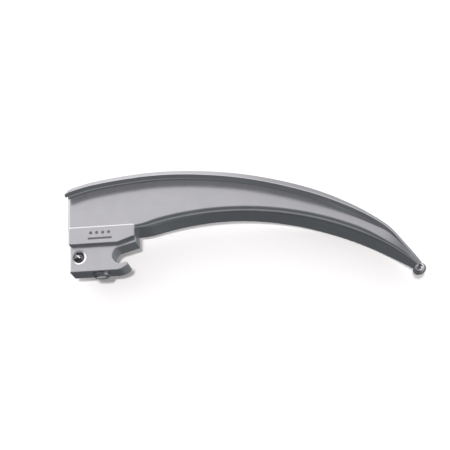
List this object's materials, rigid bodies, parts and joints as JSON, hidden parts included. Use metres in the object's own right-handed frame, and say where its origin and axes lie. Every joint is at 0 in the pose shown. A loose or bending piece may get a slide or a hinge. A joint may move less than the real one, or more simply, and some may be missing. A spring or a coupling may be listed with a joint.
{
  "type": "laryngoscope blade",
  "caption": "Curved steel laryngoscope blade with a hook-on heel, sprung detent balls and a fibre light guide, for lifting the tongue while looking into the airway.",
  "frame": {"origin": "centre of the bottom of the bounding box, with the blade lying on its right side", "axes": "+X along the blade from heel to tip, +Y to the side the web and flange stand on (up in the picture), +Z to the blade's left side, away from the surface it lies on"},
  "size_m": [0.1282, 0.0432, 0.0226],
  "materials": {
    "sheet_steel": "satin stainless steel",
    "block_steel": "satin stainless steel, machined",
    "ball_steel": "polished hardened steel",
    "ring_steel": "turned bright",
    "spring_steel": "drawn wire",
    "ferrule_steel": "turned stainless steel",
    "guide_tube": "drawn stainless tube",
    "fibre_glass": "fused glass fibres",
    "window_glass": "polished glass",
    "seal_rubber": "moulded ring",
    "screw_steel": "blackened grub screw"
  },
  "bodies": {
    "blade": {"blade_sheet": "sheet_steel", "heel_block": "block_steel", "detent_ring_left": "ring_steel", "detent_ring_right": "ring_steel", "detent_spring": "spring_steel", "inlet_ferrule": "ferrule_steel", "inlet_window": "window_glass", "inlet_seal": "seal_rubber", "guide_tube": "guide_tube", "fibre_bundle": "fibre_glass", "guide_collar": "ferrule_steel", "guide_saddle_rear": "ferrule_steel", "guide_saddle_front": "ferrule_steel", "outlet_ferrule": "ferrule_steel", "outlet_window": "window_glass", "guide_screw": "screw_steel"},
    "ball_left": {"detent_ball_left": "ball_steel"},
    "ball_right": {"detent_ball_right": "ball_steel"}
  },
  "joints": [
    {"name": "detent_press_left", "type": "slide", "parent": "blade", "child": "ball_left", "axis": [0, 0, -1], "range_m": [0, 0.0007], "stiffness_N_per_m": 3000, "springref_m": -0.001, "deforming": ["detent_spring"]},
    {"name": "detent_press_right", "type": "slide", "parent": "blade", "child": "ball_right", "axis": [0, 0, 1], "range_m": [0, 0.0007], "stiffness_N_per_m": 3000, "springref_m": -0.001}
  ]
}
